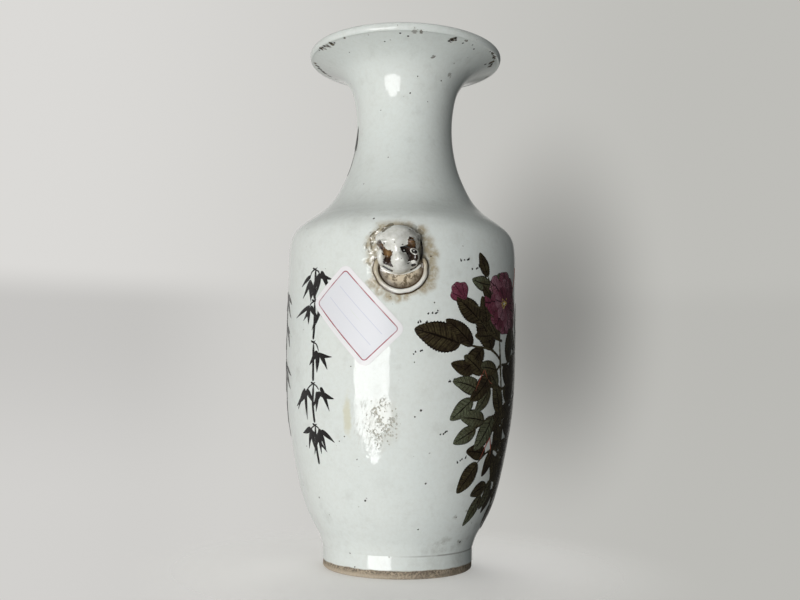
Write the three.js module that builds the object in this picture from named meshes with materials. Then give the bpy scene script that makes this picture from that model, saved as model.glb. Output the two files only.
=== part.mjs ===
// A two-handled porcelain vase: a trumpet mouth on a waisted neck, a straight-sided body
// that tapers to a low foot, and a lion mask with a mock ring handle luted on each side.
// The body was thrown in sections, which meet in V-shaped joints filled with slip.
// Millimetres, +Z up, origin at the middle of the face that the vase stands on.
// The masks are on -Y (front) and +Y (back).

import * as THREE from "three";

// Driving dimensions
const HEIGHT = 230;
const FOOT_RADIUS = 32.9;
const FOOT_HEIGHT = 9.3;
const BODY_RADIUS = 51;
const MOUTH_RADIUS = 43.7;
const BODY_WALL = 4.2;
const NECK_WALL = 3.4;

// Joints: half the space between two sections, and half the thickness of the slip in it
const JOINT_HALF = 0.6;
const SLIP_HALF = 0.3;
const TONGUE = 1.4;
const CLEARANCE = 0.3;

// Sides of the turned surfaces
const SECTORS = 48;

// Outer profile of the wall above the foot, as [radius, height] stations on a smooth curve
const WAIST_STATION = 7;
const NECK_STATION = 17;
const WALL_STATIONS = [
  [FOOT_RADIUS + 0.1, FOOT_HEIGHT],
  [34.6, 14],
  [37.6, 19.4],
  [40.6, 25.6],
  [43.5, 34.2],
  [46, 45],
  [48, 55.5],
  [49.4, 64],
  [50.4, 75],
  [BODY_RADIUS, 91],
  [BODY_RADIUS + 0.1, 107],
  [BODY_RADIUS, 123],
  [BODY_RADIUS, 134.5],
  [50.3, 142],
  [48.4, 146.1],
  [45.1, 149.3],
  [41, 152.3],
  [36.3, 156],
  [31.7, 161.3],
  [27.8, 168.4],
  [24.6, 176.5],
  [22.5, 186],
  [21.8, 195],
  [22.3, 204],
  [24.2, 212.6],
  [28.4, 219],
  [34.6, 223],
  [42.4, 226.2],
];

// The rounded lip, from the end of the wall's outer profile to its inner one
const LIP_OUTLINE = [
  [MOUTH_RADIUS - 0.3, 226.8],
  [MOUTH_RADIUS, 228.2],
  [MOUTH_RADIUS - 0.5, HEIGHT - 0.4],
  [MOUTH_RADIUS - 1.4, HEIGHT],
];

// Floor and foot
const FLOOR_UNDERSIDE = 6.5;
const FLOOR_TOP = 12;
const BOSS_RADIUS = 26.5;
const FOOT_BORE = 27.5;
const FOOT_FACE_OUTER = 31.9;
const FOOT_FACE_INNER = 28.8;
const FOOT_BEVEL = 0.9;
const FLOOR_FILLET = [
  [29, FLOOR_TOP + 4.2],
  [23, FLOOR_TOP + 1],
];

// Mask and ring handle, placed on the wall
const MASK_HEIGHT = 133;
const MASK_HALF_WIDTH = 9.7;
const MASK_HALF_HEIGHT = 10.2;
const MASK_DOME = 5.6;
const MASK_RIM = 0.5;
const MASK_SLIP_SHARE = 0.64;
const MASK_SLIP_THICKNESS = 0.6;
const RING_HEIGHT = 126.4;
const RING_RADIUS = 10.25;
const RING_THICKNESS = 2.1;
const RING_END_ANGLE = THREE.MathUtils.degToRad(104);

// Paper label, stuck on the wall at a slant
const LABEL_WIDTH = 37.5;
const LABEL_HEIGHT = 23.5;
const LABEL_SQUARENESS = 9;
const LABEL_THICKNESS = 0.3;
const LABEL_ARC = -18.6;
const LABEL_Z = 106.6;
const LABEL_SLANT = THREE.MathUtils.degToRad(-43.5);

const glaze = { color: 0xdfe4e0, roughness: 0.12, metalness: 0 };
const slip = { color: 0xd8cfc0, roughness: 0.8, metalness: 0 };
const paper = { color: 0xf4f1f0, roughness: 0.75, metalness: 0 };

const vase = new THREE.Group();

function addMesh(name, geometry, finish, parent = vase) {
  const mesh = new THREE.Mesh(geometry, new THREE.MeshStandardMaterial(finish));
  mesh.name = name;
  parent.add(mesh);
}

// Wall profile

const wallCurve = new THREE.SplineCurve(
  WALL_STATIONS.map(([radius, height]) => new THREE.Vector2(radius, height)),
);
const lastStation = WALL_STATIONS.length - 1;

function wallPoint(station) {
  return wallCurve.getPoint(station / lastStation);
}

function wallTangent(station) {
  return wallCurve.getTangent(station / lastStation);
}

function wallThickness(station) {
  const share = THREE.MathUtils.smoothstep(station, WAIST_STATION, NECK_STATION);
  return THREE.MathUtils.lerp(BODY_WALL, NECK_WALL, share);
}

// A point of the wall's section: along the wall from a station, and inwards from its outer face.
function sectionPoint(station, along, inwards) {
  const tangent = wallTangent(station);
  const inward = new THREE.Vector2(-tangent.y, tangent.x);
  return wallPoint(station).addScaledVector(tangent, along).addScaledVector(inward, inwards);
}

// The wall's radius at a height, found by halving: the profile rises all the way up.
function wallRadius(height) {
  const halvings = 24;
  let low = 0;
  let high = lastStation;
  for (let halving = 0; halving < halvings; halving += 1) {
    const middle = (low + high) / 2;
    if (wallPoint(middle).y < height) low = middle;
    else high = middle;
  }
  return wallPoint(low).x;
}

// The V-shaped end face of a section, or a face of the slip, from the outside in.
function jointFace(station, along) {
  const thickness = wallThickness(station);
  return [
    sectionPoint(station, along, 0),
    sectionPoint(station, along - TONGUE, thickness / 2),
    sectionPoint(station, along, thickness),
  ];
}

// The wall's points from one station to another: depth is 0 on its outer face, 1 on its inner one.
function wallRun(from, to, depth) {
  return Array.from({ length: to - from + 1 }, (_, step) => {
    const station = from + step;
    return sectionPoint(station, 0, depth * wallThickness(station));
  });
}

// A closed outline, counter-clockwise with radius to the right, turned round the Z axis.
function turned(outline) {
  const points = outline.map(([x, y]) => new THREE.Vector2(x, y));
  if (points[0].x > 0) points.push(points[0].clone());
  return new THREE.LatheGeometry(points, SECTORS).rotateX(Math.PI / 2);
}

const pairs = (points) => points.map((point) => [point.x, point.y]);

// Thrown sections

function neckSection() {
  const outer = wallRun(NECK_STATION + 1, lastStation, 0);
  const inner = wallRun(NECK_STATION + 1, lastStation, 1).reverse();
  return turned([
    ...pairs([jointFace(NECK_STATION, JOINT_HALF)[0], ...outer]),
    ...LIP_OUTLINE,
    ...pairs([...inner, ...jointFace(NECK_STATION, JOINT_HALF).reverse().slice(0, 2)]),
  ]);
}

function upperBodySection() {
  const outer = wallRun(WAIST_STATION + 1, NECK_STATION - 1, 0);
  const inner = wallRun(WAIST_STATION + 1, NECK_STATION - 1, 1).reverse();
  const bottom = jointFace(WAIST_STATION, JOINT_HALF);
  return turned(pairs([
    bottom[0],
    ...outer,
    ...jointFace(NECK_STATION, -JOINT_HALF),
    ...inner,
    bottom[2],
    bottom[1],
  ]));
}

function lowerBodySection() {
  const outer = wallRun(1, WAIST_STATION - 1, 0);
  const inner = wallRun(2, WAIST_STATION - 1, 1).reverse();
  const seat = FOOT_HEIGHT + JOINT_HALF;
  return turned([
    [0, FLOOR_UNDERSIDE],
    [BOSS_RADIUS, FLOOR_UNDERSIDE],
    [BOSS_RADIUS, seat],
    [FOOT_RADIUS + 0.1, seat],
    ...pairs([...outer, ...jointFace(WAIST_STATION, -JOINT_HALF), ...inner]),
    ...FLOOR_FILLET,
    [0, FLOOR_TOP],
  ]);
}

function footRing() {
  const top = FOOT_HEIGHT - JOINT_HALF;
  return turned([
    [FOOT_FACE_INNER, 0],
    [FOOT_FACE_OUTER, 0],
    [FOOT_RADIUS, FOOT_BEVEL],
    [FOOT_RADIUS, top],
    [FOOT_BORE, top],
    [FOOT_BORE, FOOT_BEVEL],
  ]);
}

// Luting slip between the sections

function seamSlip(station) {
  const lower = jointFace(station, -SLIP_HALF);
  const upper = jointFace(station, SLIP_HALF).reverse();
  return turned(pairs([lower[2], lower[1], lower[0], upper[2], upper[1], upper[0]]));
}

function footSlip() {
  const sleeveInner = BOSS_RADIUS + CLEARANCE;
  const sleeveOuter = FOOT_BORE - CLEARANCE;
  return turned([
    [sleeveInner, FLOOR_UNDERSIDE],
    [sleeveOuter, FLOOR_UNDERSIDE],
    [sleeveOuter, FOOT_HEIGHT - SLIP_HALF],
    [FOOT_RADIUS, FOOT_HEIGHT - SLIP_HALF],
    [FOOT_RADIUS, FOOT_HEIGHT + SLIP_HALF],
    [sleeveInner, FOOT_HEIGHT + SLIP_HALF],
  ]);
}

// Reliefs on the wall

// A place on the front of the wall: arc is the distance round it, rise is the height, and
// out is the distance from its outer face.
function onWall(arc, rise, out) {
  const radius = wallRadius(rise) + out;
  const angle = arc / BODY_RADIUS;
  return [radius * Math.sin(angle), -radius * Math.cos(angle), rise];
}

// A closed patch on the wall. edge(angle) gives its outline round the middle as [across, up],
// and front and back give the distance from the wall at a share of the way out to the edge.
function wallPatch({ middle, edge, rings, sectors, front, back }) {
  const positions = [];
  const faces = [];
  const place = (share, sector, side) => {
    const [across, up] = edge((2 * Math.PI * sector) / sectors).map((size) => size * share);
    return onWall(middle[0] + across, middle[1] + up, side(across, up, share));
  };
  positions.push(...place(0, 0, front), ...place(0, 0, back));
  for (let ring = 1; ring <= rings; ring += 1) {
    for (let sector = 0; sector < sectors; sector += 1) {
      positions.push(...place(ring / rings, sector, front), ...place(ring / rings, sector, back));
    }
  }
  // Vertices come in pairs, front then back: pair 0 is the middle.
  const pair = (ring, sector) => 2 * (ring === 0 ? 0 : 1 + (ring - 1) * sectors + (sector % sectors));
  for (let sector = 0; sector < sectors; sector += 1) {
    for (let ring = 0; ring < rings; ring += 1) {
      const near = pair(ring, sector);
      const nearNext = pair(ring, sector + 1);
      const far = pair(ring + 1, sector);
      const farNext = pair(ring + 1, sector + 1);
      faces.push(near, far, farNext, near + 1, farNext + 1, far + 1);
      if (ring > 0) faces.push(near, farNext, nearNext, near + 1, nearNext + 1, farNext + 1);
    }
    const rim = pair(rings, sector);
    const rimNext = pair(rings, sector + 1);
    faces.push(rim, rim + 1, rimNext + 1, rim, rimNext + 1, rimNext);
  }
  const geometry = new THREE.BufferGeometry();
  geometry.setAttribute("position", new THREE.Float32BufferAttribute(positions, 3));
  geometry.setIndex(faces);
  geometry.computeVertexNormals();
  return geometry;
}

function maskEdge(angle) {
  return [MASK_HALF_WIDTH * Math.cos(angle), MASK_HALF_HEIGHT * Math.sin(angle)];
}

// The forms of the lion's face, each a soft hill at [across, up] with its radii and height.
// Those off the middle line come in pairs, and a negative height is a hollow.
const HILL_FALL = 1.6;
const DOME_POWER = 2.6;
const RIM_FADE = 0.16;
const FACE_FORMS = [
  { at: [0, 4.2], radii: [6.4, 4.6], height: 2.6 }, // forehead
  { at: [4.1, 2.2], radii: [3.2, 1.4], height: 1 }, // brow
  { at: [4.6, -0.2], radii: [2.4, 1.6], height: -1.3 }, // eye socket
  { at: [4.7, -0.4], radii: [1.5, 1.2], height: 1.5 }, // eyeball
  { at: [0, -0.6], radii: [2.1, 3.6], height: 1.7 }, // nose bridge
  { at: [0, -4.2], radii: [3.7, 3], height: 3 }, // snout
  { at: [5.2, -4.6], radii: [2.6, 2.4], height: 1.3 }, // cheek
  { at: [8, 5], radii: [1.9, 2.2], height: 1.3 }, // ear
];

function faceHeight(across, up, share) {
  const dome = MASK_DOME * Math.sqrt(Math.max(0, 1 - share ** DOME_POWER));
  const forms = FACE_FORMS.reduce((sum, { at, radii, height }) => {
    const hill = (side) => {
      const away = ((across - side * at[0]) / radii[0]) ** 2 + ((up - at[1]) / radii[1]) ** 2;
      return Math.exp(-HILL_FALL * away);
    };
    return sum + height * (at[0] > 0 ? hill(1) + hill(-1) : hill(1));
  }, 0);
  const fade = THREE.MathUtils.smoothstep(1 - share, 0, RIM_FADE);
  return CLEARANCE + MASK_RIM + dome + fade * forms;
}

// The mask was pressed in a mould, so its back is hollow, and slip fills the hollow.
function hollowBack(across, up, share) {
  const deep = 1 - THREE.MathUtils.smoothstep(share, MASK_SLIP_SHARE + 0.06, MASK_SLIP_SHARE + 0.22);
  return CLEARANCE + deep * (MASK_SLIP_THICKNESS + CLEARANCE);
}

function lionMask() {
  return wallPatch({
    middle: [0, MASK_HEIGHT],
    edge: maskEdge,
    rings: 12,
    sectors: 32,
    front: faceHeight,
    back: hollowBack,
  });
}

function maskSlip() {
  return wallPatch({
    middle: [0, MASK_HEIGHT],
    edge: (angle) => maskEdge(angle).map((size) => size * MASK_SLIP_SHARE),
    rings: 2,
    sectors: 24,
    front: () => CLEARANCE + MASK_SLIP_THICKNESS,
    back: () => CLEARANCE,
  });
}

// The mock ring: an open loop lying on the wall below the mask, with its ends under the cheeks.
class RingLine extends THREE.Curve {
  getPoint(share, target = new THREE.Vector3()) {
    const angle = THREE.MathUtils.lerp(-RING_END_ANGLE, RING_END_ANGLE, share);
    const rise = RING_HEIGHT - RING_RADIUS * Math.cos(angle);
    return target.set(...onWall(RING_RADIUS * Math.sin(angle), rise, CLEARANCE + RING_THICKNESS / 2));
  }
}

function handleRing() {
  const section = new THREE.Shape();
  section.absarc(0, 0, RING_THICKNESS / 2, 0, 2 * Math.PI);
  return new THREE.ExtrudeGeometry(section, {
    curveSegments: 5,
    steps: 28,
    extrudePath: new RingLine(),
  });
}

// The label's outline is a superellipse close to a round-cornered rectangle, turned by its slant.
function labelEdge(angle) {
  const across = Math.abs(Math.cos(angle) / (LABEL_WIDTH / 2)) ** LABEL_SQUARENESS;
  const up = Math.abs(Math.sin(angle) / (LABEL_HEIGHT / 2)) ** LABEL_SQUARENESS;
  const reach = (across + up) ** (-1 / LABEL_SQUARENESS);
  return [reach * Math.cos(angle + LABEL_SLANT), reach * Math.sin(angle + LABEL_SLANT)];
}

function priceLabel() {
  return wallPatch({
    middle: [LABEL_ARC, LABEL_Z],
    edge: labelEdge,
    rings: 4,
    sectors: 40,
    front: () => CLEARANCE + LABEL_THICKNESS,
    back: () => CLEARANCE,
  });
}

// Assembly

addMesh("foot_ring", footRing(), glaze);
addMesh("foot_seam_slip", footSlip(), slip);
addMesh("lower_body_section", lowerBodySection(), glaze);
addMesh("waist_seam_slip", seamSlip(WAIST_STATION), slip);
addMesh("upper_body_section", upperBodySection(), glaze);
addMesh("neck_seam_slip", seamSlip(NECK_STATION), slip);
addMesh("neck_section", neckSection(), glaze);
addMesh("price_label", priceLabel(), paper);

for (const [side, turn] of [["front", 0], ["back", Math.PI]]) {
  const handle = new THREE.Group();
  handle.rotation.z = turn;
  addMesh(`mask_slip_${side}`, maskSlip(), slip, handle);
  addMesh(`lion_mask_${side}`, lionMask(), glaze, handle);
  addMesh(`handle_ring_${side}`, handleRing(), glaze, handle);
  vase.add(handle);
}

export default vase;
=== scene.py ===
"""A two-handled porcelain vase: its glaze, enamels, lion masks and paper label.

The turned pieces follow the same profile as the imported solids, at a finer step. Lengths are in millimetres,
as in the part's source, and MM turns them into metres. Colours are linear red, green and blue.
"""

import functools
import math
import random

import bpy
import numpy as np
from mathutils import Matrix, Vector

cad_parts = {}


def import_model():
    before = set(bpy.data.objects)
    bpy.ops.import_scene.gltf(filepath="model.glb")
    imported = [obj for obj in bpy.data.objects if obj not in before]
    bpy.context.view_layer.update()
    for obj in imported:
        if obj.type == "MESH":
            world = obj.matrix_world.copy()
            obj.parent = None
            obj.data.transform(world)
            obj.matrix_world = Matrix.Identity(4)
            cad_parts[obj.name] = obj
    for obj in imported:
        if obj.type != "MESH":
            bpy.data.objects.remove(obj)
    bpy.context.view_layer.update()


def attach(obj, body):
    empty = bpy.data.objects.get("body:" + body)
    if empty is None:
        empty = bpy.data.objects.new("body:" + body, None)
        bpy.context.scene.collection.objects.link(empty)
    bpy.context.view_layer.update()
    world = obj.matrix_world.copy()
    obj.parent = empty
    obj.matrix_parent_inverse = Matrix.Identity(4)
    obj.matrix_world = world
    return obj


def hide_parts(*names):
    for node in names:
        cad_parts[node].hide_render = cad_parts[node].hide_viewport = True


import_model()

MM = 0.001
BODY = "root"

# Driving dimensions

HEIGHT = 230
FOOT_RADIUS = 32.9
FOOT_HEIGHT = 9.3
BODY_RADIUS = 51
MOUTH_RADIUS = 43.7
BODY_WALL = 4.2
NECK_WALL = 3.4
TONGUE = 1.4
SLIP_HALF = 0.3

WAIST_STATION = 7
NECK_STATION = 17
WALL_STATIONS = np.array([
    (FOOT_RADIUS + 0.1, FOOT_HEIGHT), (34.6, 14), (37.6, 19.4), (40.6, 25.6), (43.5, 34.2), (46, 45),
    (48, 55.5), (49.4, 64), (50.4, 75), (BODY_RADIUS, 91), (BODY_RADIUS + 0.1, 107), (BODY_RADIUS, 123),
    (BODY_RADIUS, 134.5), (50.3, 142), (48.4, 146.1), (45.1, 149.3), (41, 152.3), (36.3, 156),
    (31.7, 161.3), (27.8, 168.4), (24.6, 176.5), (22.5, 186), (21.8, 195), (22.3, 204), (24.2, 212.6),
    (28.4, 219), (34.6, 223), (42.4, 226.2),
])
LAST_STATION = len(WALL_STATIONS) - 1

MASK_HEIGHT = 133
MASK_ARC = -1.7
RING_HEIGHT = 125.4
RING_ARC = -0.4
RING_RADIUS = 9.9
RING_SQUASH = 0.93
RING_THICKNESS = 1.75
RING_END_ANGLE = 117

LABEL_LENGTH = 37.5
LABEL_WIDTH = 23.5
LABEL_ARC = -19.1
LABEL_HEIGHT = 106.5
LABEL_SLANT = -46.5
LABEL_CORNER = 3.7


# Wall profile

def curve_point(points, place):
    """A point of the smooth curve through points. Place 1.5 is half way from the second to the third."""
    last = len(points) - 1
    index = min(int(place), last - 1)
    share = place - index
    near, far = points[index], points[index + 1]
    leave = (far - points[max(index - 1, 0)]) / 2
    arrive = (points[min(index + 2, last)] - near) / 2
    return (
        near
        + leave * share
        + (3 * (far - near) - 2 * leave - arrive) * share**2
        + (2 * (near - far) + leave + arrive) * share**3
    )


def curve_points(points, steps):
    """Points along the smooth curve, with a number of steps from each given point to the next."""
    points = np.asarray(points, float)
    count = (len(points) - 1) * steps
    return np.array([curve_point(points, step / steps) for step in range(count + 1)])


def section_point(station, along, inwards):
    """A point of the wall's section: along the wall from a station, and inwards from its outer face."""
    step = 1e-3
    before = curve_point(WALL_STATIONS, max(station - step, 0))
    after = curve_point(WALL_STATIONS, min(station + step, LAST_STATION))
    tangent = (after - before) / np.linalg.norm(after - before)
    inward = np.array([-tangent[1], tangent[0]])
    return curve_point(WALL_STATIONS, station) + along * tangent + inwards * inward


def wall_thickness(station):
    share = np.clip((station - WAIST_STATION) / (NECK_STATION - WAIST_STATION), 0, 1)
    return BODY_WALL + (NECK_WALL - BODY_WALL) * share * share * (3 - 2 * share)


def wall_run(start, end, steps, depth):
    """Points of the wall from one station to another. Depth is 0 on its outer face and 1 on its inner."""
    stations = np.linspace(start, end, int(round(abs(end - start) * steps)) + 1)
    return [section_point(station, 0, depth * wall_thickness(station)) for station in stations]


WALL_CURVE = curve_points(WALL_STATIONS, 40)


def wall_radius(height):
    return np.interp(height, WALL_CURVE[:, 1], WALL_CURVE[:, 0])


def wall_mark(azimuth, height):
    """The place on the wall or foot at so many degrees round from the front."""
    radius = FOOT_RADIUS if height < FOOT_HEIGHT else float(wall_radius(height))
    angle = math.radians(azimuth)
    return (radius * math.sin(angle), -radius * math.cos(angle), height)


def on_wall(arc, rise, out):
    """Places on the front of the wall: arc is the distance round the body, rise the height and out the
    distance from the outer face, as numbers or arrays."""
    angle = np.asarray(arc) / BODY_RADIUS
    radius = wall_radius(rise) + out
    return np.stack([radius * np.sin(angle), -radius * np.cos(angle), rise + 0 * angle], -1)


# Meshes

def new_object(name, data):
    thing = bpy.data.objects.new(name, data)
    bpy.context.scene.collection.objects.link(thing)
    return thing


def grid_faces(numbers):
    """The four-cornered faces of a grid of point numbers, anticlockwise if columns run right and rows up."""
    corners = numbers[:-1, :-1], numbers[:-1, 1:], numbers[1:, 1:], numbers[1:, :-1]
    return np.stack(corners, -1).reshape(-1, 4).tolist()


def numbered(rows, columns):
    return np.arange(rows * columns).reshape(rows, columns)


def closed(numbers):
    """A grid of point numbers with its first column again at the end."""
    return np.concatenate([numbers, numbers[:, :1]], 1)


class Clay:
    """Gathers closed solids into one mesh, with a number for each point under each of the given names."""

    def __init__(self):
        self.points = []
        self.faces = []
        self.facts = {}
        self.count = 0

    def add(self, points, faces, facts):
        points = np.asarray(points, float)
        self.faces += [[self.count + int(corner) for corner in face] for face in faces]
        for name in sorted(set(self.facts) | set(facts)):
            values = np.broadcast_to(facts.get(name, 0), points.shape[:-1])
            self.facts.setdefault(name, [np.zeros(self.count)]).append(values.ravel())
        self.points.append(points.reshape(-1, 3))
        self.count += len(self.points[-1])

    def slab(self, front, back, **facts):
        """A closed solid between two grids, whose columns run right and rows up as seen from the front."""
        numbers = numbered(*front.shape[:2])
        behind = numbers.size
        edge = [*numbers[0], *numbers[1:, -1], *numbers[-1, -2::-1], *numbers[-2:0:-1, 0]]
        faces = grid_faces(numbers)
        faces += [face[::-1] for face in grid_faces(numbers + behind)]
        for here, there in zip(edge, edge[1:] + edge[:1]):
            faces.append([behind + here, behind + there, there, here])
        self.add([front, back], faces, facts)

    def rod(self, loops, **facts):
        """A closed solid through loops of points, which run anticlockwise as seen from before the first
        one, with one face on the first loop and one on the last."""
        numbers = numbered(*loops.shape[:2])
        faces = [numbers[0], numbers[-1, ::-1], *grid_faces(closed(numbers).T)]
        self.add(loops, faces, facts)

    def disc(self, front, rim, **facts):
        """A closed solid with loops of points as its front, from the middle out, and one behind its rim."""
        grids = {name: np.broadcast_to(values, front.shape[:2]) for name, values in facts.items()}
        grids = {name: np.concatenate([grid, grid[-1:]]) for name, grid in grids.items()}
        self.rod(np.concatenate([front, rim[None]]), **grids)

    def lathe(self, outline, sectors, shape=None):
        """A solid turned round the Z axis from an outline of (radius, height), anticlockwise with radius to
        the right. It closes on itself or starts and ends on the axis. shape(radius, height, angle) may move
        points."""
        outline = np.array([tuple(point) for point in outline], float)
        from_axis = outline[0][0] == 0
        ring = outline[1:-1] if from_axis else outline
        angles = np.arange(sectors) * 2 * np.pi / sectors
        radius, height = [np.repeat(column[:, None], sectors, 1) for column in ring.T]
        if shape:
            radius, height = shape(radius, height, angles)
        points = np.stack([radius * np.sin(angles), -radius * np.cos(angles), height], -1).reshape(-1, 3)
        numbers = closed(numbered(len(ring), sectors))
        if from_axis:
            bottom, top = len(points), len(points) + 1
            points = np.concatenate([points, [(0, 0, outline[0][1]), (0, 0, outline[-1][1])]])
            faces = grid_faces(numbers)
            faces += [[bottom, beside, here] for here, beside in zip(numbers[0], numbers[0][1:])]
            faces += [[top, here, beside] for here, beside in zip(numbers[-1], numbers[-1][1:])]
        else:
            faces = grid_faces(np.concatenate([numbers, numbers[:1]]))
        self.add(points, faces, {})

    def piece(self, name, material, slot, nodes=(), crease=60, turned=False):
        """The finished object, on the vase in place of the given nodes. turned puts it on the back."""
        mesh = bpy.data.meshes.new(name)
        points = np.concatenate(self.points) * MM
        if turned:
            points = points * (-1, -1, 1)
        mesh.from_pydata(points.tolist(), [], self.faces)
        for fact, values in self.facts.items():
            layer = mesh.attributes.new(fact, "FLOAT", "POINT")
            layer.data.foreach_set("value", np.concatenate(values).astype(np.float32))
        mesh.shade_smooth()
        mesh.set_sharp_from_angle(angle=math.radians(crease))
        mesh.materials.append(material)
        thing = new_object(name, mesh)
        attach(thing, BODY)
        if nodes:
            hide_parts(*nodes)


# Material nodes

def operation(name, swapped=False):
    """A method of Value that adds a math node, or a vector math node where the value isn't a number."""

    def method(self, *others):
        values = [*others, self] if swapped else [self, *others]
        if self.socket.type == "VALUE":
            return self.nodes.value("ShaderNodeMath", enumerate(values), operation=name)
        output = "Value" if name in ("DISTANCE", "LENGTH") else "Vector"
        return self.nodes.value("ShaderNodeVectorMath", enumerate(values), output, operation=name)

    return method


class Value:
    """What a node gives out: a number, vector or colour at each place, to reckon with like a number."""

    def __init__(self, nodes, socket):
        self.nodes = nodes
        self.socket = socket

    __add__ = operation("ADD")
    __sub__ = operation("SUBTRACT")
    __rsub__ = operation("SUBTRACT", True)
    __mul__ = operation("MULTIPLY")
    __truediv__ = operation("DIVIDE")
    __gt__ = operation("GREATER_THAN")
    __lt__ = operation("LESS_THAN")
    __abs__ = operation("ABSOLUTE")
    larger = operation("MAXIMUM")
    smaller = operation("MINIMUM")
    fraction = operation("FRACT")
    sign = operation("SIGN")
    distance = operation("DISTANCE")
    length = operation("LENGTH")

    def fade(self, start, end, low=0, high=1):
        """Runs smoothly from low to high as the value goes from start to end."""
        sockets = {"Value": self, "From Min": start, "From Max": end, "To Min": low, "To Max": high}
        return self.nodes.value("ShaderNodeMapRange", sockets, interpolation_type="SMOOTHSTEP")

    def noise(self, size, detail=3, roughness=0.5, output="Fac"):
        """Smooth noise from 0 to 1 with features of about that size."""
        sockets = {"Vector": self, "Scale": 1 / size, "Detail": detail, "Roughness": roughness}
        return self.nodes.value("ShaderNodeTexNoise", sockets, output)

    def cells(self, size):
        """The distance to the middle of the nearest cell of about that size, and its random numbers."""
        cell = self.nodes.node("ShaderNodeTexVoronoi", {"Vector": self, "Scale": 1 / size})
        return Value(self.nodes, cell.outputs["Distance"]), Value(self.nodes, cell.outputs["Color"]).split()

    def oval(self, middle, stretch):
        """The distance from a middle, with each axis stretched."""
        return ((self - middle) * stretch).length()

    def split(self):
        parts = self.nodes.node("ShaderNodeSeparateXYZ", {0: self}).outputs
        return [Value(self.nodes, part) for part in parts]


def largest(values):
    """The largest of several values at each place."""
    return functools.reduce(Value.larger, values)


class Nodes:
    """Builds a node tree."""

    def __init__(self, tree):
        self.tree = tree

    def node(self, kind, inputs=(), **settings):
        node = self.tree.nodes.new(kind)
        for name, value in settings.items():
            setattr(node, name, value)
        for name, value in dict(inputs).items():
            self.feed(node.inputs[name], value)
        return node

    def value(self, kind, inputs=(), output=0, **settings):
        return Value(self, self.node(kind, inputs, **settings).outputs[output])

    def feed(self, socket, value):
        """Links a value to a socket or sets the socket. One number for a vector stands for all three."""
        if isinstance(value, Value):
            self.tree.links.new(value.socket, socket)
        elif socket.type == "RGBA":
            socket.default_value = (*value, 1)
        elif socket.type == "VECTOR":
            socket.default_value = np.broadcast_to(value, 3).tolist()
        else:
            socket.default_value = value

    def join(self, x, y, z):
        return self.value("ShaderNodeCombineXYZ", {0: x, 1: y, 2: z})

    def fact(self, name):
        """The number that the mesh's points carry under that name."""
        return self.value("ShaderNodeAttribute", output="Fac", attribute_name=name)

    def mix(self, share, first, second):
        """The first colour, and the second where share is 1."""
        return self.value("ShaderNodeMix", {0: share, 6: first, 7: second}, 2, data_type="RGBA")


class Shader(Nodes):
    """A material built up in layers of colour, roughness and relief. place is in millimetres."""

    def __init__(self, name):
        self.material = bpy.data.materials.new(name)
        self.material.use_nodes = True
        super().__init__(self.material.node_tree)
        self.surface = self.tree.nodes["Principled BSDF"]
        self.place = self.value("ShaderNodeTexCoord", output="Object") * (1 / MM)
        self.colour = None
        self.rough = None
        self.normal = None

    def paint(self, share, colour):
        self.colour = self.mix(share, self.colour, colour)

    def emboss(self, height, depth):
        """Adds relief: a height of 0 to 1 stands for a depth in millimetres."""
        sockets = {"Height": height, "Distance": depth * MM, "Strength": 1}
        if self.normal is not None:
            sockets["Normal"] = self.normal
        self.normal = self.value("ShaderNodeBump", sockets)

    def finish(self, **sockets):
        """The material, with its layers and the given sockets."""
        layers = {"Base_Color": self.colour, "Roughness": self.rough, "Normal": self.normal, **sockets}
        for name, value in layers.items():
            if value is not None:
                self.feed(self.surface.inputs[name.replace("_", " ")], value)
        return self.material


# Marks on the glaze

# Iron specks burnt through the glaze: degrees round from the front, height, radius
SPECKS = [
    (-14, 224, 0.45), (-45, 223, 0.35), (13, 213, 0.35), (41, 213, 0.4), (6, 206, 0.45), (27, 203, 0.3),
    (-28.5, 199, 0.3), (-16, 177, 0.3), (-35.5, 165, 0.3), (-18, 32.5, 0.55), (-30, 56, 0.35),
    (7, 66.5, 0.4), (9.7, 69, 0.6), (6.2, 88, 0.3), (-23, 86, 0.35), (-27, 58, 0.4), (-21, 49, 0.35),
    (-54, 53, 0.35), (-50, 32, 0.4), (-50, 74, 0.5), (14, 40, 0.5), (12.4, 21, 0.35), (44, 27.6, 0.4),
    (36, 25.5, 0.35), (15, 112, 0.35), (-14, 146, 0.55), (13, 130.5, 0.4), (-5, 114, 0.3),
    (-36.5, 9.3, 0.4), (-32, 4, 0.35), (49, 14, 0.6), (110, 60, 0.5), (140, 95, 0.45), (165, 40, 0.5),
    (-120, 70, 0.45), (-160, 120, 0.5), (-3.3, 225.7, 0.55), (1.4, 225.1, 0.6), (37.7, 225.3, 0.55),
    (49.2, 225, 0.5), (45, 225.6, 0.4), (26.8, 228.8, 0.3), (-95, 190, 0.4), (175, 200, 0.4),
    (120, 218, 0.4),
]

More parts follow.
